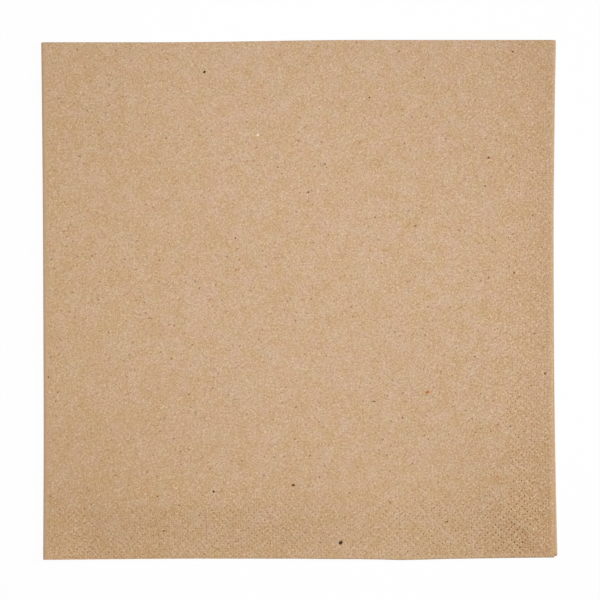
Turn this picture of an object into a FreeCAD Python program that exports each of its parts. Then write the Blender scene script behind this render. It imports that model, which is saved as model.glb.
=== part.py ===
import FreeCAD, Part
import os
import Sketcher

# A paper napkin folded in quarters, lying flat. One square sheet of soft two-ply tissue is folded in
# half at the top edge (+Y), then in half again at the left edge (-X). That leaves two packs of two
# leaves, joined all along the left edge, and open at the right and the bottom edge.
# +X is right, +Y is up the sheet and +Z is up. The origin is under the middle of the folded napkin.
# The dots pressed into the border are too fine for this solid, which has the border's shallow step.

SIZES = {
    "leaf_thickness": 0.3,
    "first_fold_gap": 0.3,
    "second_fold_gap": 0.4,
    "folded_width": 199.7,
    "folded_height": 202.0,
    "lower_pack_overhang": 0.8,
    "upper_edge_bow": 0.65,
    "lower_edge_bow": 1.0,
    "under_leaf_step": 0.95,
    "side_border_width": 16.6,
    "foot_border_width": 26.0,
    "border_margin": 1.8,
    "border_depth": 0.08,
}

# Places worked out from the sizes, as expressions that the sketches and features are bound to.
PACK = "(2 * sizes.leaf_thickness + sizes.first_fold_gap)"
HEIGHT = f"(2 * {PACK} + sizes.second_fold_gap)"
RIGHT = "((sizes.folded_width + sizes.lower_pack_overhang) / 2)"
LEFT = f"(-{RIGHT})"
UPPER_RIGHT = f"({LEFT} + sizes.folded_width)"
TOP = "(sizes.folded_height / 2)"
BOTTOM = f"(-{TOP})"
SECOND_FOLD = f"({LEFT} + {HEIGHT} / 2)"
FIRST_FOLD = f"({TOP} - {PACK} / 2)"
UPPER_BOW = f"({UPPER_RIGHT} - sizes.upper_edge_bow)"
LOWER_BOW = f"(({UPPER_RIGHT} + {RIGHT}) / 2 - sizes.lower_edge_bow)"


def make_sizes(document):
    """The spreadsheet that holds every driving dimension, in millimetres."""
    sheet = document.addObject("Spreadsheet::Sheet", "sizes")
    for row, (name, size) in enumerate(SIZES.items(), start=1):
        sheet.set(f"A{row}", name)
        sheet.set(f"B{row}", str(size))
        sheet.setAlias(f"B{row}", name)
    document.recompute()


def new_sketch(body, name, role, up="0", out="0"):
    """A sketch on one of the body's own planes, moved up within it and out of it."""
    plane = next(p for p in body.Origin.OriginFeatures if p.Role == role)
    sketch = body.newObject("Sketcher::SketchObject", name)
    sketch.AttachmentSupport = [(plane, "")]
    sketch.MapMode = "FlatFace"
    sketch.setExpression(".AttachmentOffset.Base.y", up)
    sketch.setExpression(".AttachmentOffset.Base.z", out)
    body.Document.recompute()
    return sketch


def point_at(sketch, place):
    """Where a place, a pair of expressions, lies on the sketch now."""
    across, up = (float(sketch.evalExpression(expression)) for expression in place)
    return FreeCAD.Vector(across, up, 0)


def pin(sketch, geometry, end, place):
    """Holds one point of a sketch at a place, measured from the sketch's origin."""
    now = point_at(sketch, place)
    for kind, distance, expression in zip(("DistanceX", "DistanceY"), now, place):
        index = sketch.addConstraint(Sketcher.Constraint(kind, -1, 1, geometry, end, distance))
        sketch.setExpression(f"Constraints[{index}]", expression)


def draw_edge(sketch, start, stop, through):
    """A straight edge, or an arc through a third point. Gives the numbers of its first and last end:
    a sketch's arcs run anticlockwise, so an arc drawn the other way has them swapped."""
    if through is None:
        sketch.addGeometry(Part.LineSegment(start, stop))
        return 1, 2
    if (through - start).cross(stop - through).z > 0:
        sketch.addGeometry(Part.Arc(start, through, stop))
        return 1, 2
    sketch.addGeometry(Part.Arc(stop, through, start))
    return 2, 1


def draw_outline(sketch, corners):
    """A closed outline. A corner is a place, and after it, where the edge to the next corner is an
    arc, a place that the arc passes through."""
    starts = [point_at(sketch, corner[:2]) for corner in corners]
    throughs = [point_at(sketch, corner[2]) if corner[2:] else None for corner in corners]
    stops = starts[1:] + starts[:1]
    ends = [draw_edge(sketch, *edge) for edge in zip(starts, stops, throughs)]
    for index, corner in enumerate(corners):
        following = (index + 1) % len(corners)
        pin(sketch, index, ends[index][0], corner[:2])
        sketch.addConstraint(
            Sketcher.Constraint("Coincident", index, ends[index][1], following, ends[following][0])
        )
        if corner[2:]:
            point = sketch.addGeometry(Part.Point(throughs[index]), True)
            pin(sketch, point, 1, corner[2])
            sketch.addConstraint(Sketcher.Constraint("PointOnObject", point, 1, index))
    sketch.Document.recompute()


def draw_pack(body, name, side):
    """The section of one pack of two leaves, with the first fold's hairpin at its top end. It lies
    below the second fold's axis with side -1 and above it with side 1."""
    sketch = new_sketch(body, name, "YZ_Plane", up=f"{HEIGHT} / 2", out=SECOND_FOLD)
    outer_face = f"({side} * {HEIGHT} / 2)"
    outer_inside = f"({outer_face} - ({side}) * sizes.leaf_thickness)"
    inner_inside = f"({outer_inside} - ({side}) * sizes.first_fold_gap)"
    inner_face = f"({side} * sizes.second_fold_gap / 2)"
    between = f"(({outer_inside} + {inner_inside}) / 2)"
    inner_bend_top = f"({FIRST_FOLD} + sizes.first_fold_gap / 2)"
    draw_outline(
        sketch,
        [
            (BOTTOM, outer_face),
            (FIRST_FOLD, outer_face, (TOP, between)),
            (FIRST_FOLD, inner_face),
            (BOTTOM, inner_face),
            (BOTTOM, inner_inside),
            (FIRST_FOLD, inner_inside, (inner_bend_top, between)),
            (FIRST_FOLD, outer_inside),
            (BOTTOM, outer_inside),
        ],
    )
    return sketch


def pad(body, name, sketch, length):
    """Paper laid out from a section, along +X."""
    feature = body.newObject("PartDesign::Pad", name)
    feature.Profile = sketch
    feature.setExpression("Length", length)
    body.Document.recompute()


def cut(body, name, sketch, depth, upwards):
    """Paper taken away under or over a flat sketch, to a depth."""
    before = body.Shape.Volume
    feature = body.newObject("PartDesign::Pocket", name)
    feature.Profile = sketch
    feature.Reversed = upwards
    feature.setExpression("Length", depth)
    body.Document.recompute()
    if not body.Shape.Volume < before:
        raise RuntimeError(f"{name} cuts nothing")


def fold_sheet(body):
    """The sheet folded twice: a lower and an upper pack, and the bend that joins them."""
    lower = draw_pack(body, "lower_pack_section", -1)
    pad(body, "lower_pack", lower, f"{RIGHT} - {SECOND_FOLD}")
    bend = body.newObject("PartDesign::Revolution", "second_fold")
    bend.Profile = lower
    bend.ReferenceAxis = (lower, ["H_Axis"])
    bend.Angle = 180
    body.Document.recompute()
    upper = draw_pack(body, "upper_pack_section", 1)
    pad(body, "upper_pack", upper, f"{UPPER_RIGHT} - {SECOND_FOLD}")


def trim_open_edges(body):
    """The cut edges as they lie: bowed in along the right, and fanned out at the free corner."""
    lower_side = new_sketch(body, "lower_side_outline", "XY_Plane")
    draw_outline(
        lower_side,
        [
            (RIGHT, BOTTOM, (LOWER_BOW, "0")),
            (UPPER_RIGHT, TOP),
            (RIGHT, TOP),
        ],
    )
    cut(body, "lower_side_trim", lower_side, f"{HEIGHT} / 2", upwards=True)
    upper_side = new_sketch(body, "upper_side_outline", "XY_Plane", out=HEIGHT)
    draw_outline(
        upper_side,
        [
            (UPPER_RIGHT, BOTTOM, (UPPER_BOW, "0")),
            (UPPER_RIGHT, TOP),
        ],
    )
    cut(body, "upper_side_trim", upper_side, f"{HEIGHT} / 2", upwards=False)
    under_leaves = new_sketch(body, "under_leaf_outline", "XY_Plane")
    draw_outline(
        under_leaves,
        [
            (SECOND_FOLD, BOTTOM),
            (RIGHT, BOTTOM),
            (RIGHT, f"{BOTTOM} + sizes.under_leaf_step"),
        ],
    )
    under_top_leaf = f"{HEIGHT} - sizes.leaf_thickness - sizes.first_fold_gap / 2"
    cut(body, "under_leaf_trim", under_leaves, under_top_leaf, upwards=True)


def draw_border(body, name, right, bottom, out):
    """The border pressed along both open edges, an angle that stops at each fold."""
    sketch = new_sketch(body, name, "XY_Plane", out=out)
    inner_right = f"({right} - sizes.side_border_width)"
    inner_bottom = f"({bottom} + sizes.foot_border_width)"
    draw_outline(
        sketch,
        [
            (SECOND_FOLD, bottom),
            (right, bottom),
            (right, FIRST_FOLD),
            (inner_right, FIRST_FOLD),
            (inner_right, inner_bottom),
            (SECOND_FOLD, inner_bottom),
        ],
    )
    return sketch


def press_border(body):
    """The shallow pressed border on the top leaf and on the underside."""
    top_right = f"({UPPER_BOW} - sizes.border_margin)"
    top_bottom = f"({BOTTOM} + sizes.border_margin)"
    top = draw_border(body, "top_border_outline", top_right, top_bottom, HEIGHT)
    cut(body, "top_border", top, "sizes.border_depth", upwards=False)
    under_right = f"({LOWER_BOW} - sizes.border_margin)"
    under_bottom = f"({BOTTOM} + sizes.under_leaf_step + sizes.border_margin)"
    under = draw_border(body, "under_border_outline", under_right, under_bottom, "0")
    cut(body, "under_border", under, "sizes.border_depth", upwards=True)


def check(document, body):
    """Stops if any object failed, or if the napkin isn't one valid solid."""
    failed = [o.Name for o in document.Objects if {"Invalid", "Error"} & set(o.State)]
    if failed:
        raise RuntimeError(f"failed: {failed}")
    shape = body.Shape
    if shape.isNull() or not shape.isValid() or len(shape.Solids) != 1:
        raise RuntimeError(f"{body.Label} isn't one valid solid")


def main():
    document = FreeCAD.newDocument("paper_napkin")
    make_sizes(document)
    napkin = document.addObject("PartDesign::Body", "napkin")
    napkin.Label = "napkin"
    fold_sheet(napkin)
    trim_open_edges(napkin)
    press_border(napkin)
    document.recompute()
    check(document, napkin)
    os.makedirs("parts", exist_ok=True)
    napkin.Shape.exportStep(os.path.join("parts", f"{napkin.Label}.step"))
    box = napkin.Shape.optimalBoundingBox()
    print(f"{napkin.Label}: {box.XLength:.2f} x {box.YLength:.2f} x {box.ZLength:.2f} mm")
    print(f"volume {napkin.Shape.Volume:.0f} mm3, {len(napkin.Shape.Faces)} faces")


main()
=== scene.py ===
"""A kraft tissue napkin folded in quarters, lying flat: the folded sheet, its pressed border and a plain
light stage. Run as a script it makes everything in order; its panel makes each piece again."""

import math

import bpy
import numpy as np
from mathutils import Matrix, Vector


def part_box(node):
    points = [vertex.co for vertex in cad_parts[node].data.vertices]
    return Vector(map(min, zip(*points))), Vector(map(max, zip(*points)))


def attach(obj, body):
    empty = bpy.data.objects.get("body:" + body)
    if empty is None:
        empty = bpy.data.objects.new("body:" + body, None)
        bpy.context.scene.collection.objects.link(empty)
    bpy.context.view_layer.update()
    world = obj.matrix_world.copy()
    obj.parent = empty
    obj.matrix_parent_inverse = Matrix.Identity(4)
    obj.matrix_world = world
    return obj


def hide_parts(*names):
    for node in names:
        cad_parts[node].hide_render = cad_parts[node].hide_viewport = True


bl_info = {
    "name": "Folded Tissue Napkin",
    "version": (1, 0, 0),
    "blender": (4, 5, 0),
    "location": "3D View > Sidebar > Napkin",
    "description": "Folds a two-ply tissue napkin, presses its dotted border and lights it",
    "category": "Add Mesh",
}

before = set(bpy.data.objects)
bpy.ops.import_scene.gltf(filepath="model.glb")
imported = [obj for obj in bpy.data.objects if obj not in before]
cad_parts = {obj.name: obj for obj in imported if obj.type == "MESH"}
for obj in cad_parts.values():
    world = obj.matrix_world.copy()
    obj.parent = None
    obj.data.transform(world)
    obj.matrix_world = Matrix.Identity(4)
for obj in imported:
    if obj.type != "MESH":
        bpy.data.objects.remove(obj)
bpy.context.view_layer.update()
NODE = "napkin"
NODE_LOW, NODE_HIGH = (np.array(corner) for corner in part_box(NODE))
SHEET_NAME = "folded_sheet"

MM = 0.001
# A place at LAST is on the cut edge, and a place a little under LAST lies that far before it.
LAST = 1000.0
LEFT_EDGE, FOOT_EDGE = (float(edge) / MM for edge in NODE_LOW[:2])
RIGHT_EDGE = float(NODE_HIGH[0]) / MM

# The photograph's scale, which the camera and the placed flecks share.
PHOTO_PIXELS = 600
MM_PER_PIXEL = 0.3887
PHOTO_CENTRE_PIXEL = (299.35, 299.95)

# The dots' pattern repeats every ten dots: a trellis of crossing diagonals with a ring in each diamond.
PATTERN_REPEAT = 10
RING_STEP = 3
# A dot fainter than this isn't pressed at all.
LEAST_STRENGTH = 0.12
# A column counts for more than all the dots in it, so each dot draws its depth by a number of its own.
COLUMN_NUMBER = 1000.0
PRESS_INPUTS = ("Depth", "Rim", "Tallness", "Floor", "Dip", "Variation")

COLUMN_ATTRIBUTE = "dot_column"
ROW_ATTRIBUTE = "dot_row"
STRENGTH_ATTRIBUTE = "dot_strength"
# Up to 1 on a dot's floor, drawn darker, partly the pressed paper's own tone and partly painted shade, and
# down to -1 on the paper stretched round its mouth, which gets a painted highlight.
PRESSED_ATTRIBUTE = "pressed"
# Up to 1 of painted light along the open side and on the second fold, and down to -1 of painted shade on
# the foot's cut edge.
LIGHT_AND_SHADE_ATTRIBUTE = "painted_light_and_shade"

# The mesh has a line at every eighth dot, and more near the cut edges, where the leaves bend down together.
BLOCK = 8
EDGE_LINES = (2, 4, 6, 12, 20, 28)
SHARP_ANGLE = math.radians(62)
# The paper rounds off in a band along the cut edge, with lines at these distances from it, in mm.
EDGE_BAND = 1.6
EDGE_INSETS = (EDGE_BAND, 0.8, 0.5, 0.25, 0.1, 0.0)

WHITE = (1.0, 1.0, 1.0, 1.0)
# How much of the floor's look is its own white glow, which hides the lamps' uneven light.
FLOOR_GLOW = 0.94
FLOOR_HALF = 2.0
SOFT_LAMP_PLACE = (0.006, 0.012)
SIDE_LAMP_PLACE = (3.2, 0.8, 1.3)
SIDE_LAMP_SIZE = 0.8


def linear(hex_colour):
    """An sRGB hex colour as linear red, green and blue."""
    channels = [int(hex_colour[place : place + 2], 16) / 255 for place in (1, 3, 5)]
    return tuple(c / 12.92 if c <= 0.04045 else ((c + 0.055) / 1.055) ** 2.4 for c in channels)


def length(name, description, default):
    """A size in metres that the panel shows."""
    return bpy.props.FloatProperty(
        name=name, description=description, default=default, unit="LENGTH", precision=5
    )


def share(name, description, default):
    """A plain number that the panel shows."""
    return bpy.props.FloatProperty(name=name, description=description, default=default, precision=3)


def whole(name, description, default):
    """A whole number that the panel shows."""
    return bpy.props.IntProperty(name=name, description=description, default=default)


def colour(name, description, hex_colour):
    """A colour that the panel shows."""
    return bpy.props.FloatVectorProperty(
        name=name, description=description, default=linear(hex_colour), subtype="COLOR", min=0, max=1
    )


class NapkinSheetSettings(bpy.types.PropertyGroup):
    """Sizes of the folded sheet."""

    leaf: length("Leaf", "Thickness of one two-ply leaf", 0.3 * MM)
    first_gap: length("First Fold Gap", "Air inside the first fold", 0.3 * MM)
    second_gap: length("Second Fold Gap", "Air inside the second fold", 0.4 * MM)
    fold_softness: length("Fold Softness", "How much wider the leaves roll at the second fold", 1.3 * MM)
    ply_split: length("Ply Split", "How deep the cut edge opens between its plies", 0.08 * MM)
    loft: length("Loft", "How much the leaves puff up between the folds", 0.6 * MM)
    fan: length("Fan", "How much the leaves open at the free corner", 0.2 * MM)
    ripple: length("Ripple", "Waviness of the leaves along the open edges", 0.08 * MM)
    corner_step: length("Corner Step", "How much shorter the leaves under the top one are", 0.6 * MM)
    side_step: length("Side Step", "How far the lower pack stands out at the free corner", 0.8 * MM)


class NapkinBorderSettings(bpy.types.PropertyGroup):
    """Sizes of the pressed border."""

    pitch_across: length("Pitch Across", "Distance between dots along X", 1.0373 * MM)
    pitch_down: length("Pitch Down", "Distance between dots along Y", 1.0008 * MM)
    side_margin: length("Side Margin", "Plain paper right of the dots at the free corner", 2.72 * MM)
    foot_margin: length("Foot Margin", "Plain paper below the dots at the free corner", 2.61 * MM)
    side_dots: whole("Side Dots", "Dots across the right border", 16)
    foot_dots: whole("Foot Dots", "Dots up the foot border", 26)
    foot_full: whole("Full Foot Dots", "Dots up the foot border at full depth", 20)
    lean: length("Lean", "How far the border's columns lean left at their top", 1.32 * MM)
    sag: length("Sag", "How far the border's rows sink at their left end", 1.98 * MM)
    depth: length("Depth", "Depth of a dot", 0.15 * MM)
    rim: share("Rim", "Width of a dot's mouth as a share of the pitch", 0.74)
    tallness: share("Tallness", "Height of a dot's mouth as a share of its width", 1.22)
    floor: share("Floor", "Width of a dot's floor as a share of its mouth", 0.58)
    dip: share("Dip", "How far a dot's mouth is drawn down, as a share of its depth", 0.3)
    variation: share("Variation", "How unevenly the dots are pressed", 0.6)
    seed: whole("Seed", "Seed of the uneven pressing", 7)


class NapkinTissueSettings(bpy.types.PropertyGroup):
    """Colours of the paper."""

    pale: colour("Pale Fibre", "Lightest fibre", "#E3C9A5")
    # Painted light: the colour that the open side, the second fold and one patch are lightened towards.
    worn: colour("Worn Paper", "Paper worn pale on the second fold and along the open side", "#EAC59D")
    # Painted highlight on the paper round a full dot's mouth, where it bulges towards the light.
    painted_rim_light: colour("Dot's Rim", "The paper stretched round a full dot", "#E6C08E")
    deep: colour("Deep Fibre", "Darkest fibre", "#B89268")
    warm: colour("Warm Cloud", "Less yellow patches", "#D3B297")
    cool: colour("Cool Cloud", "Yellow patches", "#CEA980")
    # A full dot's floor: partly the pressed paper's own darker tone, partly painted shade in the pit.
    pit_tone_and_shade: colour("Pressed Tint", "What a full dot's floor keeps of the colour", "#A88C56")
    fleck: colour("Fleck", "Brown flecks", "#74480F")
    dark_fleck: colour("Dark Fleck", "The few blackish flecks", "#2C0C08")
    red_fleck: colour("Red Fleck", "The few reddish flecks", "#7C3826")
    rosy: colour("Rosy Cloud", "What the rosy patches keep of the colour", "#FFFCFF")
    olive: colour("Olive Cloud", "What the olive patches keep of the colour", "#FCFFFC")
    # Partly denser paper on the right border and in wide patches, partly painted shade over them.
    dense: colour("Dense", "What the paper of the right border keeps of the colour", "#F9F5F1")
    foot_tint: colour("Foot Tint", "What the two corners at the foot keep of the colour", "#FEFAF5")
    yellowed: colour("Yellowed", "What the left and the foot keep of the colour", "#FFFDF4")
    amber_fleck: colour("Amber Fleck", "The few orange flecks", "#C2763A")
    pale_fleck: colour("Pale Fleck", "The few pale flecks", "#F4E0C4")
    blue_fleck: colour("Blue Fleck", "The few bluish flecks", "#8A9292")
    # Painted shade on the foot's cut edge, where its rim bends away from the light.
    foot_edge_shade: colour("Foot Rim", "What the foot's cut edge keeps of the colour", "#DFDFDF")


class NapkinStageSettings(bpy.types.PropertyGroup):
    """Camera and light."""

    camera_height: length("Camera Height", "Height of the camera over the floor", 1.5)
    lamp_height: length("Lamp Height", "Height of the soft lamp over the paper", 0.335)
    lamp_size: length("Lamp Size", "Width of the soft lamp", 0.2)
    lamp_share: share("Lamp Share", "Share of the light that comes from the soft lamp", 0.53)
    side_share: share("Side Share", "Share of the light that comes from the right", 0.2)
    sky_share: share("Sky Share", "Share of the light that comes from all round", 0.3)
    floor: colour("Floor", "Colour of the floor", "#FFFFFF")


def add_node(tree, kind, settings=None, **sockets):
    """One node with its settings, and its inputs by name or by _number, each a value or another socket."""
    node = tree.nodes.new(kind)
    for name, value in (settings or {}).items():
        setattr(node, name, value)
    for name, value in sockets.items():
        key = int(name[1:]) if name[0] == "_" else name.replace("_", " ")
        socket = node.inputs[key]
        if isinstance(value, bpy.types.NodeSocket):
            tree.links.new(value, socket)
        else:
            socket.default_value = value
    return node


def maths(tree, operation, *values):
    """A sum, a product or the like of values and sockets."""
    sockets = {f"_{place}": value for place, value in enumerate(values)}
    return add_node(tree, "ShaderNodeMath", {"operation": operation}, **sockets).outputs[0]


def mixed(tree, factor, first, second, blend="MIX"):
    """Two colours mixed, or blended, by a factor."""
    node = tree.nodes.new("ShaderNodeMix")
    node.data_type = "RGBA"
    node.blend_type = blend
    for socket, value in ((node.inputs[0], factor), (node.inputs[6], first), (node.inputs[7], second)):
        if isinstance(value, bpy.types.NodeSocket):
            tree.links.new(value, socket)
        else:
            socket.default_value = (*value, 1.0) if socket.type == "RGBA" else value
    return node.outputs[2]


def ranged(tree, value, low, high, to_low=0.0, to_high=1.0):
    """A value carried from one range to another, and held inside it."""
    return add_node(tree, "ShaderNodeMapRange", _0=value, _1=low, _2=high, _3=to_low, _4=to_high).outputs[0]


def product(tree, first, second):
    """Two values multiplied."""
    return maths(tree, "MULTIPLY", first, second)


def total(tree, *values):
    """Values added up."""
    result = values[0]
    for value in values[1:]:
        result = maths(tree, "ADD", result, value)
    return result


def swing(tree, value, amount):
    """A value from 0 to 1, carried to as much as an amount either way of 0."""
    return ranged(tree, value, 0.0, 1.0, -amount, amount)


def empty_tree(owner):
    """The node tree of a new material or world, without a node."""
    owner.use_nodes = True
    owner.node_tree.nodes.clear()
    return owner.node_tree


def smooth_step(value, start, stop):
    """From 0 at start to 1 at stop, with soft ends."""
    t = np.clip((value - start) / (stop - start), 0, 1)
    return t * t * (3 - 2 * t)


class FoldedSheet:
    """Where each point of the flat sheet lies once it is folded. A point is given by its pack (upper or
    lower) and a distance from the second fold, and by its leaf (outer or inner) and a distance from the
    first fold. Distances from -1 to 0 run round half a bend, and those up to LAST lie that far before the
    cut edge. All in mm."""

    # The radius of the sheet's corners.
    CORNER = 0.6
    # Shares of its thickness that the paper loses at the cut edge, and the stack and a leaf at the border.
    EDGE_THIN = 0.5
    PRESSED_FLAT = 0.62
    PRESSED_THIN = 0.3
    # Painted light on the open side of the upper and the lower pack, more on the lower one, which lies in
    # the upper one's shade, and on the second fold, whose roll faces away from the light.
    PAINTED_LIGHT_UPPER = 0.45
    PAINTED_LIGHT_LOWER = 0.85
    PAINTED_LIGHT_FOLD = 0.8
    # Width in mm of the painted shade on the foot's cut edge.
    FOOT_SHADE_BAND = 0.6
    # How far in from the open edges the leaves lie pressed together, and how far in they ripple.
    PRESSED_REACH = 25
    RIPPLE_REACH = 45

    def __init__(self, sheet, border):
        for name in sheet.__annotations__:
            setattr(self, name, getattr(sheet, name) / MM)
        for name in ("pitch_across", "pitch_down", "lean", "sag"):
            setattr(self, name, getattr(border, name) / MM)
        self.left, self.bottom = NODE_LOW[:2] / MM
        self.right, self.top = NODE_HIGH[:2] / MM
        self.height = 4 * self.leaf + 2 * self.first_gap + self.second_gap
        self.outer = (self.height - self.leaf) / 2
        self.inner = (self.second_gap + self.leaf) / 2
        self.bend = (self.outer - self.inner) / 2
        self.second_fold = self.left + self.outer + self.fold_softness + self.leaf / 2
        self.first_fold = self.top - self.bend - self.leaf / 2
        self.last_column = self.right - border.side_margin / MM - self.second_fold
        self.last_row = self.first_fold - self.bottom - border.foot_margin / MM

    def right_edge(self, y, pack):
        """The open side, bowed inwards. The lower pack stands out at the free corner."""
        down = (self.top - y) / (self.top - self.bottom)
        upper = self.right - 0.66 - 0.45 * down - 0.74 * 4 * down * (1 - down)
        lower = self.right - self.side_step + (self.side_step + 0.06) * down - 1.04 * 4 * down * (1 - down)
        rounding = 0.45 * np.exp(-np.maximum(self.top - y, 0) / 0.4)
        return np.where(pack > 0, upper, lower) - rounding

    def bottom_edge(self, x, pack, leaf):
        """The open foot: nearly straight, rising to the right, with a soft bulge where it creased. The
        leaves under the top one end shorter towards the free corner."""
        across = (x - self.left) / (self.right - self.left)
        line = self.bottom + 0.17 + 0.38 * smooth_step(across, 0, 0.3)
        line = line - 0.17 * smooth_step(across, 0.5, 0.56)
        line = line + 0.6 * smooth_step(across, 0.72, 1) - 0.38 * np.exp(-(((x - 40.5) / 9.5) ** 2))
        line = line + 0.4 * np.exp(-np.maximum(x - self.left, 0) / 0.35)
        top_leaf = (pack > 0) & (leaf > 0)
        step = self.corner_step * np.clip(across, 0, 1) ** 1.5
        return np.where(top_leaf, line, line + step + 0.12 * (leaf < 0))

    def left_shift(self, y):
        """How far the second fold lies right of its mean place: a soft bow."""
        down = (self.top - y) / (self.top - self.bottom)
        return -0.37 + 0.6 * down + 0.5 * 4 * down * (1 - down) + 0.15 * smooth_step(down, 0.5, 0.8)

    def top_shift(self, x):
        """How far the first fold lies above its mean place."""
        return -0.6 + 0.9 * smooth_step(x, -55.0, 25.0)

    def border_shift(self, u, v):
        """How far the dots' lines lie off a square grid, to the right and upwards: the press wasn't quite
        square to the fold. Nothing moves at the folds."""
        above, aside = self.last_row - v, self.last_column - u
        right = -self.lean * (1 - (1 - above / 170) ** 2)
        right = right + 0.39 * smooth_step(aside, 60, 79) + 0.39 * np.clip((aside - 81) / 100, 0, 1)
        up = -self.sag * (1 - (1 - aside / 197) ** 2) - 1.09 * (above / 186) ** 2
        fixed = smooth_step(u, 0, 12) * smooth_step(v, 0, 12)
        return right * fixed, up * fixed

    def lift(self, x, y):
        """How far the top leaf stands above the flat stack."""
        right = smooth_step(x, self.left, self.left + 40)
        down = smooth_step(-y, -self.top, -self.top + 30)
        waves = 0.5 + 0.28 * np.sin(x / 31 + 0.6) * np.cos(y / 27) + 0.22 * np.sin((x + 1.7 * y) / 43)
        corner = np.hypot(x - self.right, y - self.bottom)
        return right * down * (self.loft * waves + self.fan * np.exp(-((corner / 45) ** 2)))

    def place(self, pack, u, leaf, v, side, inset):
        """Points of the paper's surface, and the painted light and shade each gets: up to 1 of painted
        light at the open side and on the second fold, and down to -1 of painted shade at the foot's cut
        edge. Side 1 is the face that lies outside, and -1 the other one. inset moves a point of the cut
        edge into the paper."""
        column, row = np.clip(u, 0, self.last_column), np.clip(v, 0, self.last_row)
        right, up = self.border_shift(column, row)
        reach, drop = column + right, row - up
        side_edge = self.right_edge(self.first_fold - drop, pack) - self.second_fold
        foot_edge = self.first_fold - self.bottom_edge(self.second_fold + reach, pack, leaf)
        at_side, at_foot = u >= LAST - EDGE_BAND, v >= LAST - EDGE_BAND
        side_room = np.minimum(1, (side_edge - reach) / 2)
        foot_room = np.minimum(1, (foot_edge - drop) / 2)
        from_side = np.where(at_side, (LAST - u) * side_room, EDGE_BAND)
        from_foot = np.where(at_foot, (LAST - v) * foot_room, EDGE_BAND)
        near_cut = 1 - np.minimum(from_side, from_foot) / EDGE_BAND
        thickness = self.leaf * (1 - self.EDGE_THIN * near_cut**4)
        # Painted light along the open side, more on the lower pack, which lies in the upper one's shade,
        # and on the second fold, whose roll faces away from the light.
        side_light = np.where(pack > 0, self.PAINTED_LIGHT_UPPER, self.PAINTED_LIGHT_LOWER) * (1 - from_side / EDGE_BAND)
        pale = np.maximum(side_light, self.PAINTED_LIGHT_FOLD * smooth_step(-u, 0, 0.45))
        # Painted shade on the foot's cut edge, where its rim bends away from the light, from the middle of
        # the foot to the free corner.
        foot_shade = smooth_step(self.FOOT_SHADE_BAND - from_foot, 0, self.FOOT_SHADE_BAND) * smooth_step(reach, 50, 95)
        pale = np.where(foot_shade > 0, -foot_shade, pale)
        reach = np.where(at_side, side_edge, reach)
        drop = np.where(at_foot, foot_edge, drop)
        across = np.maximum(self.CORNER - from_side, 0) + 1e-9
        below = np.maximum(self.CORNER - from_foot, 0) + 1e-9
        rounding = np.maximum(across, below) / np.hypot(across, below)
        from_side = from_side + across * (1 - rounding)
        from_foot = from_foot + below * (1 - rounding)
        reach = np.where(at_side, reach - from_side - inset, reach)
        drop = np.where(at_foot, drop - from_foot - inset, drop)
        theta = 0.5 * np.pi * (1 + np.minimum(u, 0)) * pack
        phi = 0.5 * np.pi * (1 + np.minimum(v, 0)) * leaf
        radius = (self.outer + self.inner) / 2 + self.bend * np.sin(phi)
        axis = radius + self.fold_softness
        x = self.second_fold - axis * np.cos(theta) + reach
        y = self.first_fold + self.bend * np.cos(phi) - drop
        z = self.height / 2 + radius * np.sin(theta)
        level = (z - self.leaf / 2) / (self.height - self.leaf)
        near = self.near_open_edges(x, y, self.PRESSED_REACH)
        z = self.leaf / 2 + (z - self.leaf / 2) * (1 - self.PRESSED_FLAT * near)
        half = thickness / 2 * (1 - self.PRESSED_THIN * near)
        outwards = np.stack([-np.cos(theta) / axis, np.zeros_like(theta), np.sin(theta) / radius], -1)
        outwards /= np.linalg.norm(outwards, axis=-1, keepdims=True)
        normal = outwards * np.sin(phi)[:, None]
        normal[:, 1] += np.cos(phi)
        points = np.stack([x, y, z], -1) + normal * (side * half)[:, None]
        x, y = points[:, 0].copy(), points[:, 1].copy()
        points[:, 0] += self.left_shift(y) * (1 - smooth_step(x, self.left, self.left + 25))
        points[:, 1] += self.top_shift(x) * (1 - smooth_step(-y, -self.top, -self.top + 25))
        points[:, 2] += self.lift(x, y) * (1 - 0.85 * near) * np.clip(level, 0, 1)
        points[:, 2] += self.ripples(x, y, level) - self.PRESSED_THIN * near * self.leaf / 2
        return points, pale

    def near_open_edges(self, x, y, width):
        """1 at the open edges and 0 further in, and 0 at the folds."""
        near_side = smooth_step(x, self.right - width, self.right - 2)
        near_foot = smooth_step(-y, -self.bottom - width, -self.bottom - 2)
        off_folds = smooth_step(x, self.left, self.left + 20) * smooth_step(-y, -self.top, -self.top + 20)
        return np.maximum(near_side, near_foot) * off_folds

    def ripples(self, x, y, level):
        """The leaves' waviness, which dies out away from the open edges and towards the floor. The leaves
        wave nearly together, so that none runs through the next."""
        near = self.near_open_edges(x, y, self.RIPPLE_REACH)
        phase = 1.5 * level
        wave = 2 + np.sin(x / 11 + phase) + np.sin(y / 13 + 1.7 * phase)
        return self.ripple * 0.5 * wave * near * np.clip(level, 0, 1)


def half_stations(count, pitch, last, bend_steps, border_dots):
    """Where the mesh has lines from a fold's middle to the cut edge, and which dot each line starts at.
    The dots' lines are counted from the free corner, and stand a block apart."""
    lines = [(step / bend_steps - 1, None) for step in range(bend_steps + 1)]
    counts = sorted({count, *range(0, count, BLOCK), *EDGE_LINES, *border_dots}, reverse=True)
    lines += [(last - dots * pitch, dots) for dots in counts]
    return lines + [(LAST - inset, None) for inset in EDGE_INSETS]


def both_halves(half):
    """A fold's two sides as one list of (side of the fold, distance, dot), from cut edge to cut edge."""
    back = [(-1.0, place, dot) for place, dot in reversed(half[1:])]
    return back + [(1.0, place, dot) for place, dot in half]


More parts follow.
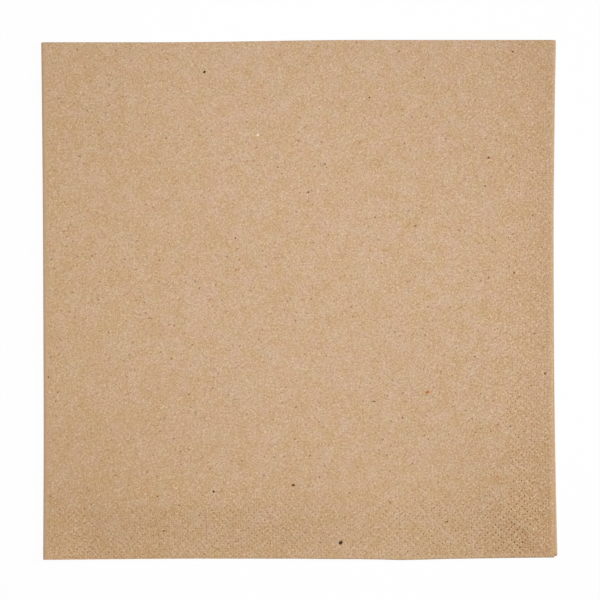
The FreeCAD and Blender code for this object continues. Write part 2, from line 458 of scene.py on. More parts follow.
class SheetMesh:
    """Collects the vertices and faces of the folded sheet as closed paper of real thickness."""

    BEND_STEPS = 6

    def __init__(self, folded, border):
        self.folded = folded
        self.border = border
        self.keys = {}
        self.faces = []
        self.dots = []
        columns = int(folded.last_column / folded.pitch_across)
        rows = int(folded.last_row / folded.pitch_down)
        side_dots, foot_dots = [border.side_dots], [border.foot_full, border.foot_dots]
        across = half_stations(columns, folded.pitch_across, folded.last_column, self.BEND_STEPS, side_dots)
        down = half_stations(rows, folded.pitch_down, folded.last_row, self.BEND_STEPS, foot_dots)
        self.across = both_halves(across)
        self.down = both_halves(down)

    def vertex(self, column, row, side, inset=0.0):
        """The number of the vertex at a place on the sheet, made once."""
        key = (column[0], round(column[1], 4), row[0], round(row[1], 4), side, inset)
        return self.keys.setdefault(key, len(self.keys))

    def is_fine(self, i, j, side):
        """True where the dots are pressed, on the two faces that lie outside."""
        if not (0 <= i < len(self.across) - 1 and 0 <= j < len(self.down) - 1) or side < 0:
            return False
        left, right = self.across[i], self.across[i + 1]
        upper, lower = self.down[j], self.down[j + 1]
        if lower[0] < 0 or None in (left[2], right[2], upper[2], lower[2]):
            return False
        in_side = min(left[2], right[2]) < self.border.side_dots
        return in_side or min(upper[2], lower[2]) < self.border.foot_dots

    def steps(self, first, last):
        """The lines between two lines, one dot apart."""
        count = abs(first[2] - last[2])
        return [(last[0], first[1] + (last[1] - first[1]) * step / count) for step in range(count + 1)]

    def coarse_face(self, i, j, side):
        """One face, which shares every vertex that a neighbour with dots has on its edge."""
        left, right = self.across[i], self.across[i + 1]
        upper, lower = self.down[j], self.down[j + 1]
        columns, rows = self.between(left, right), self.between(upper, lower)
        edges = (
            ((left, upper), [(left, row) for row in rows], (i - 1, j)),
            ((left, lower), [(column, lower) for column in columns], (i, j + 1)),
            ((right, lower), [(right, row) for row in reversed(rows)], (i + 1, j)),
            ((right, upper), [(column, upper) for column in reversed(columns)], (i, j - 1)),
        )
        ring = []
        for corner, places, neighbour in edges:
            ring.append(self.vertex(*corner, side))
            if self.is_fine(*neighbour, side):
                ring += [self.vertex(*place, side) for place in places]
        self.add_face(ring if side > 0 else ring[::-1])

    def between(self, first, last):
        """The lines one dot apart that lie between two lines, where both are counted in dots."""
        return [] if None in (first[2], last[2]) else self.steps(first, last)[1:-1]

    def add_face(self, ring, column=0, row=0, strength=0.0):
        """A face with the dot that it may hold."""
        self.faces.append(ring)
        self.dots.append((column, row, strength))

    def fine_faces(self, i, j):
        """One face for each dot's place in a block of the border."""
        left, right = self.across[i], self.across[i + 1]
        upper, lower = self.down[j], self.down[j + 1]
        columns, rows = self.steps(left, right), self.steps(upper, lower)
        for c in range(len(columns) - 1):
            for r in range(len(rows) - 1):
                corners = ((c, r), (c, r + 1), (c + 1, r + 1), (c + 1, r))
                ring = [self.vertex(columns[a], rows[b], 1.0) for a, b in corners]
                column = left[2] - 1 - c if right[2] < left[2] else left[2] + c
                row = upper[2] - 1 - r
                self.add_face(ring, column, row, self.strength(column, row))

    def strength(self, column, row):
        """How deeply a dot is pressed: full near the free corner, and less far along each border. Its
        distances to the outermost dots at the right and the foot are in mm."""
        aside = (column + 0.5) * self.folded.pitch_across
        above = (row + 0.5) * self.folded.pitch_down
        uneven = 0.3 * math.sin(aside / 9 + 1.3 * math.sin(above / 17))
        uneven += 0.2 * math.sin(above / 7.5 + aside / 21)
        inwards = float(smooth_step(aside, 4, 10))
        outer_side = 0.95 - 0.0022 * above
        inner_side = 0.4 - 0.0007 * above + 0.5 * math.exp(-((above / 42) ** 2))
        along_side = outer_side + (inner_side - outer_side) * inwards
        along_foot = 0.6 - 0.001 * aside + 0.33 * math.exp(-((aside / 20) ** 2))
        along_foot -= 0.2 * math.exp(-(((aside - 72) / 10) ** 2))
        if row >= self.border.foot_full:
            along_foot *= 0.58
        if row >= self.border.foot_dots:
            along_foot = 0.0
        if column >= self.border.side_dots:
            along_side = 0.0
        at_corner = 0.2 * math.exp(-(((aside - 17) / 9) ** 2) - (above / 9) ** 2)
        along_both = max(along_side, along_foot) * (0.55 + 0.45 * inwards) * (1 + 0.4 * uneven)
        return min(along_both + at_corner, 1.0)

    def add_faces(self):
        """Both faces of the whole sheet."""
        for i in range(len(self.across) - 1):
            for j in range(len(self.down) - 1):
                for side in (1.0, -1.0):
                    if self.is_fine(i, j, side):
                        self.fine_faces(i, j)
                    else:
                        self.coarse_face(i, j, side)

    def add_cut_edge(self, edge):
        """The cut edge along a chain of (column, row): two strips that meet in the plies' split."""
        split = self.folded.ply_split
        for start, stop in zip(edge, edge[1:]):
            outer = [self.vertex(*stop, 1.0), self.vertex(*start, 1.0)]
            middle = [self.vertex(*stop, 0.0, split), self.vertex(*start, 0.0, split)]
            inner = [self.vertex(*stop, -1.0), self.vertex(*start, -1.0)]
            self.add_face([outer[0], outer[1], middle[1], middle[0]])
            self.add_face([middle[0], middle[1], inner[1], inner[0]])

    def add_cut_edges(self):
        """All four sides of the flat sheet."""
        self.add_cut_edge([(column, self.down[-1]) for column in self.across])
        self.add_cut_edge([(column, self.down[0]) for column in reversed(self.across)])
        self.add_cut_edge([(self.across[0], row) for row in self.down])
        self.add_cut_edge([(self.across[-1], row) for row in reversed(self.down)])

    def to_mesh(self, name):
        """The collected sheet as a mesh, with each face's dot as attributes."""
        pack, u, leaf, v, side, inset = np.array(list(self.keys), float).T
        points, pale = self.folded.place(pack, u, leaf, v, side, inset)
        mesh = bpy.data.meshes.new(name)
        mesh.from_pydata((points * MM).tolist(), [], self.faces)
        kinds = (
            (COLUMN_ATTRIBUTE, "INT", int),
            (ROW_ATTRIBUTE, "INT", int),
            (STRENGTH_ATTRIBUTE, "FLOAT", float),
        )
        for place, (attribute, kind, number) in enumerate(kinds):
            layer = mesh.attributes.new(attribute, kind, "FACE")
            layer.data.foreach_set("value", [number(dot[place]) for dot in self.dots])
        # Each point's painted light, above 0, and painted shade, below 0, for the material.
        layer = mesh.attributes.new(LIGHT_AND_SHADE_ATTRIBUTE, "FLOAT", "POINT")
        layer.data.foreach_set("value", pale)
        mesh.update()
        return mesh


def wrapped_distance(tree, value, offset):
    """How far a whole number lies from the nearest place where the pattern starts again."""
    half = PATTERN_REPEAT / 2
    moved = maths(tree, "ADD", value, float(offset))
    return maths(tree, "ABSOLUTE", maths(tree, "WRAP", moved, half, -half))


def compared(tree, operation, first, second):
    """True where a value lies under or over another."""
    return add_node(tree, "FunctionNodeCompare", {"operation": operation}, A=first, B=second).outputs[0]


def named(tree, attribute, kind="FLOAT"):
    """A mesh attribute as a field."""
    node = add_node(tree, "GeometryNodeInputNamedAttribute", {"data_type": kind}, Name=attribute)
    return node.outputs["Attribute"]


def sunk_faces(tree, mesh, chosen, offset):
    """The chosen faces moved along their normals with walls round them: the mesh, and those faces."""
    node = add_node(
        tree,
        "GeometryNodeExtrudeMesh",
        {"mode": "FACES"},
        Mesh=mesh,
        Selection=chosen,
        Offset_Scale=offset,
        Individual=True,
    )
    return node.outputs["Mesh"], node.outputs["Top"]


def scaled_faces(tree, mesh, chosen, scale, mode="UNIFORM"):
    """The chosen faces, each scaled about its middle, all ways or along Y only."""
    how = {"domain": "FACE", "scale_mode": mode}
    node = add_node(tree, "GeometryNodeScaleElements", how, Geometry=mesh, Selection=chosen, Scale=scale)
    if mode == "SINGLE_AXIS":
        node.inputs["Axis"].default_value = (0.0, 1.0, 0.0)
    return node.outputs[0]


def marked_faces(tree, mesh, chosen, value):
    """Keeps on the chosen faces how deeply they are pressed, for the material."""
    node = add_node(
        tree,
        "GeometryNodeStoreNamedAttribute",
        {"data_type": "FLOAT", "domain": "POINT"},
        Geometry=mesh,
        Selection=chosen,
        Name=PRESSED_ATTRIBUTE,
        Value=value,
    )
    return node.outputs[0]


def press_dots_tree(material):
    """Presses a pit into each face that the border's pattern gives a dot. A face has a dot where its
    distances to the pattern's start, across and down, are equal or RING_STEP apart: equal makes the
    trellis, and RING_STEP apart makes the rings."""
    tree = bpy.data.node_groups.new("press_dots", "GeometryNodeTree")
    tree.interface.new_socket("Geometry", in_out="INPUT", socket_type="NodeSocketGeometry")
    for name in PRESS_INPUTS:
        tree.interface.new_socket(name, in_out="INPUT", socket_type="NodeSocketFloat")
    tree.interface.new_socket("Seed", in_out="INPUT", socket_type="NodeSocketInt")
    tree.interface.new_socket("Geometry", in_out="OUTPUT", socket_type="NodeSocketGeometry")
    given = tree.nodes.new("NodeGroupInput").outputs

    columns = named(tree, COLUMN_ATTRIBUTE, "INT")
    rows = named(tree, ROW_ATTRIBUTE, "INT")
    strength = named(tree, STRENGTH_ATTRIBUTE)
    across = wrapped_distance(tree, columns, 0)
    down = wrapped_distance(tree, rows, -1)
    apart = maths(tree, "ABSOLUTE", maths(tree, "SUBTRACT", across, down))
    in_pattern = compared(tree, "LESS_THAN", maths(tree, "MODULO", apart, float(RING_STEP)), 0.5)

    number = maths(tree, "MULTIPLY_ADD", columns, COLUMN_NUMBER, rows)
    draw = {"data_type": "FLOAT"}
    chance = add_node(tree, "FunctionNodeRandomValue", draw, ID=number, Seed=given["Seed"])
    least = maths(tree, "SUBTRACT", 1.0, given["Variation"])
    spread = maths(tree, "MULTIPLY_ADD", chance.outputs[1], given["Variation"], least)
    pressed = product(tree, strength, spread)
    deep_enough = compared(tree, "GREATER_THAN", pressed, LEAST_STRENGTH)
    dot = add_node(tree, "FunctionNodeBooleanMath", {"operation": "AND"}, _0=in_pattern, _1=deep_enough)

    down_by = product(tree, product(tree, given["Depth"], pressed), -1.0)
    dip = product(tree, down_by, given["Dip"])
    mesh, mouth = sunk_faces(tree, given["Geometry"], dot.outputs[0], dip)
    mesh = scaled_faces(tree, mesh, mouth, given["Rim"])
    mesh = scaled_faces(tree, mesh, mouth, given["Tallness"], "SINGLE_AXIS")
    # The mouth is marked below 0, for the painted highlight round it.
    mesh = marked_faces(tree, mesh, mouth, product(tree, pressed, -1.0))
    mesh, floor = sunk_faces(tree, mesh, mouth, down_by)
    mesh = scaled_faces(tree, mesh, floor, given["Floor"])
    # The floor is marked above 0, for its darker tone and painted shade.
    mesh = marked_faces(tree, mesh, floor, pressed)

    smooth = add_node(tree, "GeometryNodeSetShadeSmooth", Geometry=mesh)
    angle = add_node(tree, "GeometryNodeInputMeshEdgeAngle")
    crisp = add_node(
        tree,
        "GeometryNodeSetShadeSmooth",
        {"domain": "EDGE"},
        Geometry=smooth.outputs[0],
        Selection=compared(tree, "GREATER_THAN", angle.outputs[0], SHARP_ANGLE),
        Shade_Smooth=False,
    )
    real = add_node(tree, "GeometryNodeRealizeInstances", Geometry=crisp.outputs[0])
    finished = add_node(tree, "GeometryNodeSetMaterial", Geometry=real.outputs[0], Material=material)
    add_node(tree, "NodeGroupOutput", _0=finished.outputs[0])
    return tree


def apply_tree(piece, tree, values):
    """Runs a Geometry Nodes tree on a piece with named values, and keeps the result as a plain mesh."""
    modifier = piece.modifiers.new(tree.name, "NODES")
    modifier.node_group = tree
    for item in tree.interface.items_tree:
        if item.in_out == "INPUT" and item.name in values:
            modifier[item.identifier] = values[item.name]
    plain = piece.data
    evaluated = piece.evaluated_get(bpy.context.evaluated_depsgraph_get())
    made = bpy.data.meshes.new_from_object(evaluated)
    piece.modifiers.remove(modifier)
    piece.data = made
    made.name = plain.name
    bpy.data.meshes.remove(plain)
    bpy.data.node_groups.remove(tree)


def turned_place(tree, place, start, turn, size):
    """A place seen from a pattern that starts elsewhere, is turned by some degrees and is stretched."""
    node = add_node(
        tree,
        "ShaderNodeMapping",
        {"vector_type": "TEXTURE"},
        Vector=place,
        Location=start,
        Rotation=(0.0, 0.0, math.radians(turn)),
        Scale=size,
    )
    return node.outputs[0]


def fibre_mat(tree, place, width_mm, length_mm, turns):
    """Felted fibres: noise stretched along a few directions, with its mean near a half."""
    layers = []
    for number, turn in enumerate(turns):
        start = (17.0 * number, 5.0 * number, 3.0 * number)
        turned = turned_place(tree, place, start, turn, (length_mm, width_mm, width_mm))
        noise = add_node(tree, "ShaderNodeTexNoise", Vector=turned, Scale=1.0, Detail=0.0, Roughness=0.6)
        layers.append(noise.outputs[0])
    return product(tree, total(tree, *layers), 1 / len(layers))


def cloud(tree, place, size_mm, detail, seed=0.0):
    """Soft clouds of a real size."""
    moved = add_node(tree, "ShaderNodeMapping", Vector=place, Location=(seed, seed, seed))
    noise = add_node(
        tree, "ShaderNodeTexNoise", Vector=moved.outputs[0], Scale=1 / size_mm, Detail=detail
    )
    return noise.outputs[0]


def curly_fibres(tree, place, size_mm, thin, seed):
    """A net of thin curly fibres: 1 on a fibre and 0 off it. It follows the level lines of soft noise."""
    noise = cloud(tree, place, size_mm, 0.0, seed)
    away = maths(tree, "ABSOLUTE", maths(tree, "SUBTRACT", noise, 0.5))
    return ranged(tree, away, 0.0, thin, 1.0, 0.0)


def scattered_flecks(tree, place, spacing_mm, radius_mm, share_kept, turn, seed):
    """How much of a fleck lies at a place: small blots, some fainter, longer one way, scattered at
    random, with a share of them kept."""
    turned = turned_place(tree, place, (seed, 2 * seed, 3 * seed), turn, FLECK_STRETCH)
    blots = add_node(tree, "ShaderNodeTexVoronoi", Vector=turned, Scale=1 / spacing_mm)
    pick = add_node(tree, "ShaderNodeSeparateColor", Color=blots.outputs["Color"]).outputs
    largest = radius_mm / spacing_mm
    size = ranged(tree, pick[1], 0.0, 1.0, SMALLEST_FLECK * largest, largest)
    depth = ranged(tree, pick[2], 0.0, 1.0, FAINTEST_FLECK, 1.0)
    blot = ranged(tree, maths(tree, "DIVIDE", blots.outputs["Distance"], size), 0.6, 1.0, 1.0, 0.0)
    return product(tree, product(tree, blot, depth), maths(tree, "LESS_THAN", pick[0], share_kept))


# Flecks are longer one way. The smallest and the faintest are these shares of the largest and the darkest.
FLECK_STRETCH = (1.35, 0.8, 1.0)
SMALLEST_FLECK = 0.45
FAINTEST_FLECK = 0.25

# A placed fleck is a column of this half height, so its height in the paper makes no difference.
FAR_MM = 1000.0

# How the noise's lattice is turned against the sheet, in radians.
NOISE_SLANT = (0.61, 0.43, 0.0)

# The flecks scattered at random: spacing and largest radius in mm, share kept, turn in degrees, seed, how
# strongly they show and the name of their colour.
SCATTERED_FLECKS = (
    (2.0, 0.45, 0.5, 35, 3.0, 0.74, "fleck"),
    (2.0, 0.45, 0.5, 115, 17.0, 0.74, "fleck"),
    (3.2, 0.5, 0.4, 70, 11.0, 0.5, "pale_fleck"),
    (4.2, 0.6, 0.3, 20, 23.0, 0.75, "amber_fleck"),
    (4.4, 0.5, 0.45, 60, 41.0, 0.5, "blue_fleck"),
)

# The flecks that catch the eye: pixel across and down in the photograph, length and width in mm, turn in
# degrees and the name of its colour.
PLACED_FLECKS = (
    (340.2, 542.3, 1.9, 1.5, 60, "dark_fleck"),
    (204.0, 71.5, 1.2, 1.0, 60, "dark_fleck"),
    (213.2, 491.0, 1.0, 0.9, 0, "dark_fleck"),
    (512.3, 51.3, 0.9, 0.7, 0, "fleck"),
    (47.8, 376.5, 0.9, 0.7, 90, "fleck"),
    (163.5, 530.5, 1.4, 0.5, 20, "red_fleck"),
    (292.8, 484.6, 1.6, 1.1, 0, "red_fleck"),
    (488.0, 157.3, 1.1, 0.9, 0, "red_fleck"),
    (513.5, 272.0, 1.0, 0.7, 90, "red_fleck"),
    (426.8, 391.8, 1.9, 1.2, 20, "amber_fleck"),
    (373.5, 401.0, 2.0, 0.4, 4, "fleck"),
    (308.0, 191.8, 0.9, 0.8, 0, "fleck"),
    (324.5, 163.8, 0.8, 0.6, 40, "fleck"),
    (235.0, 237.6, 0.8, 0.7, 0, "red_fleck"),
    (484.6, 185.6, 0.8, 0.6, 0, "fleck"),
    (534.0, 332.8, 0.8, 0.6, 0, "fleck"),
    (474.2, 356.0, 0.8, 0.6, 0, "fleck"),
    (544.9, 373.0, 1.1, 0.9, 45, "fleck"),
    (510.0, 425.8, 0.8, 0.7, 30, "fleck"),
    (157.0, 496.0, 0.8, 0.6, 0, "fleck"),
    (446.4, 521.2, 1.0, 0.7, 0, "fleck"),
    (402.0, 417.0, 0.7, 0.6, 0, "fleck"),
    (369.0, 97.0, 0.8, 0.7, 0, "fleck"),
    (257.3, 134.6, 1.2, 1.0, 0, "pale_fleck"),
)

# Wide patches of painted shade, and one of painted light where the foot's crease bulges, partly where the
# paper is a
# little denser or paler: x, y and radius in mm, how much of it and the name of its colour.
LIGHT_AND_SHADE_PATCHES = (
    (86.0, -75.0, 34.0, 1.0, "dense"),
    (-47.0, -55.0, 42.0, 0.6, "dense"),
    (38.0, -88.0, 34.0, 0.11, "worn"),
    (60.0, 84.0, 60.0, 0.25, "dense"),
    (0.0, -80.0, 32.0, 0.45, "dense"),
    (-95.0, -80.0, 45.0, 0.5, "dense"),
)


def placed_fleck(tree, place, pixel_across, pixel_down, long_mm, wide_mm, turn):
    """How much of one fleck that catches the eye lies at a place."""
    x = (pixel_across - PHOTO_CENTRE_PIXEL[0]) * MM_PER_PIXEL
    y = (PHOTO_CENTRE_PIXEL[1] - pixel_down) * MM_PER_PIXEL
    turned = turned_place(tree, place, (x, y, 0.0), turn, (long_mm / 2, wide_mm / 2, FAR_MM))
    away = add_node(tree, "ShaderNodeVectorMath", {"operation": "LENGTH"}, _0=turned)
    return ranged(tree, away.outputs["Value"], 0.7, 1.1, 1.0, 0.0)


def left_and_foot(tree, x, y):
    """1 at the left and the foot edge, fading out inwards, and 2 where they meet."""
    near_left = ranged(tree, x, LEFT_EDGE, LEFT_EDGE + 70, 1.0, 0.0)
    near_foot = ranged(tree, y, FOOT_EDGE, FOOT_EDGE + 70, 1.0, 0.0)
    return total(tree, near_left, near_foot)


def right_border(tree, x):
    """1 on the border along the right edge, fading out inwards."""
    return ranged(tree, x, RIGHT_EDGE - 28, RIGHT_EDGE - 10)


def foot_corners(tree, x, y):
    """1 in the two corners at the foot, fading out between them and up the sheet."""
    low_down = ranged(tree, y, FOOT_EDGE + 36, FOOT_EDGE + 10)
    at_left = ranged(tree, x, -20, -60)
    at_right = ranged(tree, x, 66, 86)
    return product(tree, low_down, total(tree, at_left, at_right))


def soft_patch(tree, place, x, y, radius):
    """1 in the middle of a round patch, fading out to its radius. In mm."""
    away = add_node(tree, "ShaderNodeVectorMath", {"operation": "DISTANCE"}, _0=place, _1=(x, y, 0.0))
    return ranged(tree, away.outputs["Value"], radius, 0.0)


def roughness_of_border(tree, x, y):
    """How much stronger the paper's tones are where the border's press roughed it up: from 1 off the
    border to its most on the lower half of the right border."""
    at_right = ranged(tree, x, RIGHT_EDGE - 60, RIGHT_EDGE - 14)
    low_down = ranged(tree, y, 15, -15, 0.08, 0.2)
    at_foot = ranged(tree, y, FOOT_EDGE + 34, FOOT_EDGE + 16, 0.0, 0.12)
    return total(tree, 1.0, product(tree, at_right, low_down), at_foot)


def recycled_tissue(settings):
    """Two-ply tissue of recycled kraft fibre, wet-formed, creped and pressed. To the eye: fully matte, a
    felt of short pale and brown fibres, cloudy where the fibres bunched, with brown and a few red, orange
    and black flecks left from the recycled stock, and a little darker where a dot is pressed, partly the
    pressed paper's own tone and partly painted shade in the pit. It also has a painted highlight round each
    dot, painted light along the open side and on the second fold, painted shade on the foot's cut edge and
    wide patches of painted shade."""
    material = bpy.data.materials.new("recycled_kraft_tissue")
    tree = empty_tree(material)
    where = add_node(tree, "ShaderNodeTexCoord").outputs
    in_mm = (1 / MM, 1 / MM, 1 / MM)
    place = add_node(tree, "ShaderNodeMapping", Vector=where["Object"], Scale=in_mm).outputs[0]
    x, y = add_node(tree, "ShaderNodeSeparateXYZ", Vector=place).outputs[:2]
    # Noise is weak on the planes of its own lattice. A slanted cut runs through all of them evenly.
    slanted = add_node(tree, "ShaderNodeMapping", Vector=place, Rotation=NOISE_SLANT).outputs[0]

    # Real fibres are 0.03 mm wide, which is a twelfth of the render's pixel, so they are drawn coarser.
    grain = cloud(tree, slanted, 0.56, 0.0, 60.0)
    fine = fibre_mat(tree, slanted, 0.46, 0.75, (15, 75, 135))
    bunched = fibre_mat(tree, slanted, 1.2, 2.4, (40, 100, 165))
    wide = cloud(tree, slanted, 14.0, 1.0)
    light_fibres = curly_fibres(tree, slanted, 0.95, 0.05, 5.0)
    dark_fibres = curly_fibres(tree, slanted, 1.0, 0.05, 31.0)
    tone = total(
        tree,
        swing(tree, grain, 1.0),
        swing(tree, fine, 1.0),
        swing(tree, bunched, 0.07),
        swing(tree, wide, 0.03),
        product(tree, light_fibres, 0.14),
        product(tree, dark_fibres, -0.16),
    )
    tone = product(tree, tone, roughness_of_border(tree, x, y))
    tint = cloud(tree, slanted, 5.4, 1.5, 40.0)
    paper = mixed(tree, ranged(tree, tint, 0.27, 0.73), settings.cool, settings.warm)
    large_hue = ranged(tree, cloud(tree, slanted, 6.5, 1.5, 80.0), 0.35, 0.65)
    small_hue = ranged(tree, cloud(tree, slanted, 1.5, 0.0, 120.0), 0.25, 0.75)
    for hue in (large_hue, small_hue):
        cast = mixed(tree, hue, settings.olive, settings.rosy)
        paper = mixed(tree, 1.0, paper, cast, "MULTIPLY")
    paper = mixed(tree, left_and_foot(tree, x, y), paper, settings.yellowed, "MULTIPLY")
    # The right border darkened: partly its pressed paper's own tone, partly painted shade of its pits.
    paper = mixed(tree, right_border(tree, x), paper, settings.dense, "MULTIPLY")
    paper = mixed(tree, foot_corners(tree, x, y), paper, settings.foot_tint, "MULTIPLY")
    # Wide patches of painted shade, and one of painted light, partly the paper's uneven density.
    for *circle, amount, name in LIGHT_AND_SHADE_PATCHES:
        patch = product(tree, soft_patch(tree, place, *circle), amount)
        blend = "MIX" if name == "worn" else "MULTIPLY"
        paper = mixed(tree, patch, paper, getattr(settings, name), blend)
    darker = mixed(tree, ranged(tree, tone, 0.0, -1.0), paper, settings.deep)
    shaded = mixed(tree, ranged(tree, tone, 0.0, 1.0), darker, settings.pale)

    warp = add_node(tree, "ShaderNodeTexNoise", Vector=slanted, Scale=1.6, Detail=1.0)
    bend = {"operation": "MULTIPLY_ADD"}
    half_mm = (0.5, 0.5, 0.5)
    bent = add_node(tree, "ShaderNodeVectorMath", bend, _0=warp.outputs["Color"], _1=half_mm, _2=slanted)
    for *scatter, amount, name in SCATTERED_FLECKS:
        blots = scattered_flecks(tree, bent.outputs[0], *scatter)
        shaded = mixed(tree, product(tree, blots, amount), shaded, getattr(settings, name))

    upwards = add_node(tree, "ShaderNodeSeparateXYZ", Vector=where["Normal"]).outputs[2]
    on_top = maths(tree, "GREATER_THAN", upwards, 0.0)
    for *fleck, name in PLACED_FLECKS:
        blot = product(tree, placed_fleck(tree, place, *fleck), on_top)
        shaded = mixed(tree, blot, shaded, getattr(settings, name))

    pressed = add_node(tree, "ShaderNodeAttribute", {"attribute_name": PRESSED_ATTRIBUTE}).outputs["Fac"]
    # A dot's floor darkened: partly the pressed paper's own tone, partly painted shade in the pit.
    floor = ranged(tree, pressed, 0.0, 1.0)
    # Painted highlight round each dot's mouth.
    rim = ranged(tree, pressed, 0.0, -1.0, 0.0, 0.7)
    shaded = mixed(tree, floor, shaded, settings.pit_tone_and_shade, "MULTIPLY")
    shaded = mixed(tree, rim, shaded, settings.painted_rim_light)
    # Painted light along the open side and on the second fold, and painted shade on the foot's cut edge.
    worn = add_node(tree, "ShaderNodeAttribute", {"attribute_name": LIGHT_AND_SHADE_ATTRIBUTE}).outputs["Fac"]
    shaded = mixed(tree, ranged(tree, worn, 0.0, 1.0, 0.0, 0.85), shaded, settings.worn)
    # Painted shade on the foot's cut edge.
    shaded = mixed(tree, ranged(tree, worn, 0.0, -1.0), shaded, settings.foot_edge_shade, "MULTIPLY")

    relief = total(tree, fine, product(tree, bunched, 1.6))
    bump = add_node(tree, "ShaderNodeBump", Strength=0.25, Distance=0.06 * MM, Height=relief)
    shader = add_node(
        tree,
        "ShaderNodeBsdfPrincipled",
        Base_Color=shaded,
        Roughness=0.95,
        Normal=bump.outputs[0],
        Specular_IOR_Level=0.25,
        Sheen_Weight=0.08,
        Sheen_Roughness=0.6,
    )
    add_node(tree, "ShaderNodeOutputMaterial", Surface=shader.outputs[0])
    return material


def camera_light(tree):
    """1 for rays that the camera, a gloss or a clear material sends, and 0 for the light's own rays."""
    path = add_node(tree, "ShaderNodeLightPath")
    kinds = [path.outputs[name] for name in ("Is Camera Ray", "Is Glossy Ray", "Is Transmission Ray")]
    return ranged(tree, total(tree, *kinds), 0.0, 1.0)


def white_floor(settings):
    """Matte white card that shows as plain white, with the object's own soft shadow."""
    material = bpy.data.materials.new("white_card")
    tree = empty_tree(material)
    card = add_node(tree, "ShaderNodeBsdfDiffuse", Color=(*settings.floor, 1.0))
    glow = add_node(tree, "ShaderNodeEmission", Color=WHITE, Strength=1.0)
    share_of_glow = product(tree, camera_light(tree), FLOOR_GLOW)
    both = add_node(tree, "ShaderNodeMixShader", _0=share_of_glow, _1=card.outputs[0], _2=glow.outputs[0])
    add_node(tree, "ShaderNodeOutputMaterial", Surface=both.outputs[0])
    return material


def make_world(sky_share):
    """Even light from all round, shown as plain white."""
    world = bpy.data.worlds.new("studio")
    tree = empty_tree(world)
    sky, white = (
        add_node(tree, "ShaderNodeBackground", Color=WHITE, Strength=strength).outputs[0]
        for strength in (sky_share, 1.0)
    )
    both = add_node(tree, "ShaderNodeMixShader", _0=camera_light(tree), _1=sky, _2=white)
    add_node(tree, "ShaderNodeOutputWorld", Surface=both.outputs[0])
    bpy.context.scene.world = world


def make_lamp(name, place, target, size, level):
    """A square soft lamp that lights a level surface at its target as strongly as level says, where 1
    shows a colour as it is written."""
    data = bpy.data.lights.new(name, "AREA")
    data.size = size
    away = np.array(target) - np.array(place)
    distance = float(np.linalg.norm(away))
    slant = float(-away[2] / distance)
    data.energy = level * math.pi**2 * distance**2 / slant
    lamp = bpy.data.objects.new(name, data)
    lamp.location = place
    lamp.rotation_mode = "QUATERNION"
    lamp.rotation_quaternion = Vector(away.tolist()).to_track_quat("-Z", "Y")
    lamp.visible_camera = False
    bpy.context.scene.collection.objects.link(lamp)


def make_camera(height):
    """Looks straight down, framed as the photograph is."""
    data = bpy.data.cameras.new("camera")
    width = PHOTO_PIXELS * MM_PER_PIXEL * MM
    top = NODE_HIGH[2]
    data.lens = data.sensor_width * (height - top) / width
    data.dof.use_dof = False
    camera = bpy.data.objects.new("camera", data)
    middle = (PHOTO_PIXELS - 1) / 2
    x = (middle - PHOTO_CENTRE_PIXEL[0]) * MM_PER_PIXEL * MM
    y = (PHOTO_CENTRE_PIXEL[1] - middle) * MM_PER_PIXEL * MM
    camera.location = (x, y, height)
    bpy.context.scene.collection.objects.link(camera)
    bpy.context.scene.camera = camera


class NAPKIN_OT_fold_sheet(bpy.types.Operator):
    """Fold the tissue sheet in quarters and press its dotted border"""

    bl_idname = "napkin.fold_sheet"
    bl_label = "Fold Sheet"

    def execute(self, context):
        scene = context.scene
        border = scene.napkin_border
        folded = FoldedSheet(scene.napkin_sheet, border)
        sheet_mesh = SheetMesh(folded, border)
        sheet_mesh.add_faces()
        sheet_mesh.add_cut_edges()
        piece = bpy.data.objects.new(SHEET_NAME, sheet_mesh.to_mesh(SHEET_NAME))
        scene.collection.objects.link(piece)
        material = recycled_tissue(scene.napkin_tissue)
        values = {name: getattr(border, name.lower()) for name in (*PRESS_INPUTS, "Seed")}
        apply_tree(piece, press_dots_tree(material), values)
        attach(piece, "root")
        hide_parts(NODE)
        return {"FINISHED"}


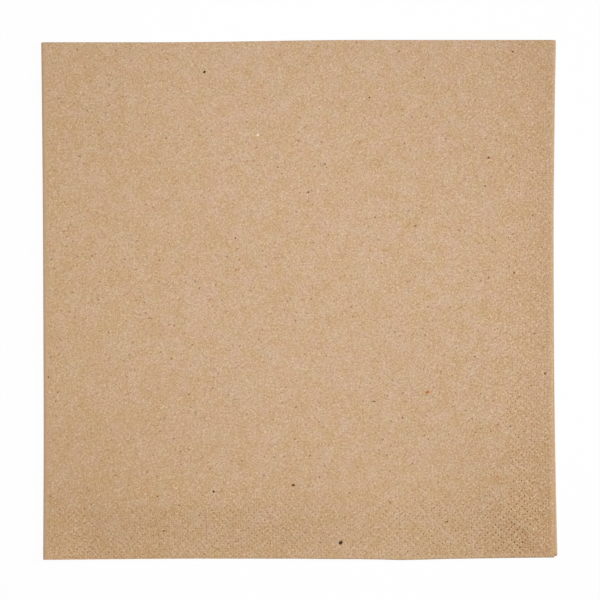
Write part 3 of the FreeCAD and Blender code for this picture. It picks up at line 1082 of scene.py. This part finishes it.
class NAPKIN_OT_light_stage(bpy.types.Operator):
    """Make the white floor, the soft lamps, the sky and the camera"""

    bl_idname = "napkin.light_stage"
    bl_label = "Light Stage"

    def execute(self, context):
        stage = context.scene.napkin_stage
        corners = [(FLOOR_HALF * x, FLOOR_HALF * y, 0.0) for x, y in ((-1, -1), (1, -1), (1, 1), (-1, 1))]
        mesh = bpy.data.meshes.new("floor")
        mesh.from_pydata(corners, [], [(0, 1, 2, 3)])
        mesh.materials.append(white_floor(stage))
        floor = bpy.data.objects.new("floor", mesh)
        context.scene.collection.objects.link(floor)
        make_world(stage.sky_share)
        high, below = (*SOFT_LAMP_PLACE, stage.lamp_height), (*SOFT_LAMP_PLACE, 0.0)
        make_lamp("soft_lamp", high, below, stage.lamp_size, stage.lamp_share)
        make_lamp("side_lamp", SIDE_LAMP_PLACE, (0.0, 0.0, 0.0), SIDE_LAMP_SIZE, stage.side_share)
        make_camera(stage.camera_height)
        context.scene.view_settings.view_transform = "Standard"
        return {"FINISHED"}


class NAPKIN_PT_panel(bpy.types.Panel):
    """The napkin's sizes, colours and light"""

    bl_label = "Napkin"
    bl_idname = "NAPKIN_PT_panel"
    bl_space_type = "VIEW_3D"
    bl_region_type = "UI"
    bl_category = "Napkin"

    def draw(self, context):
        scene = context.scene
        groups = (
            (NAPKIN_OT_fold_sheet, (scene.napkin_sheet, scene.napkin_border, scene.napkin_tissue)),
            (NAPKIN_OT_light_stage, (scene.napkin_stage,)),
        )
        for operator, settings in groups:
            box = self.layout.box()
            for group in settings:
                for name in group.__annotations__:
                    box.prop(group, name)
            box.operator(operator.bl_idname)


SETTINGS = {
    "napkin_sheet": NapkinSheetSettings,
    "napkin_border": NapkinBorderSettings,
    "napkin_tissue": NapkinTissueSettings,
    "napkin_stage": NapkinStageSettings,
}
CLASSES = (*SETTINGS.values(), NAPKIN_OT_fold_sheet, NAPKIN_OT_light_stage, NAPKIN_PT_panel)


def register():
    """Registers the classes and hangs the settings on the scene."""
    for one in CLASSES:
        bpy.utils.register_class(one)
    for name, group in SETTINGS.items():
        setattr(bpy.types.Scene, name, bpy.props.PointerProperty(type=group))


def unregister():
    """Takes everything away again."""
    for name in SETTINGS:
        delattr(bpy.types.Scene, name)
    for one in reversed(CLASSES):
        bpy.utils.unregister_class(one)


def main():
    """Makes the whole scene."""
    register()
    bpy.ops.napkin.fold_sheet()
    bpy.ops.napkin.light_stage()
    bpy.context.view_layer.update()


if __name__ == "__main__":
    main()
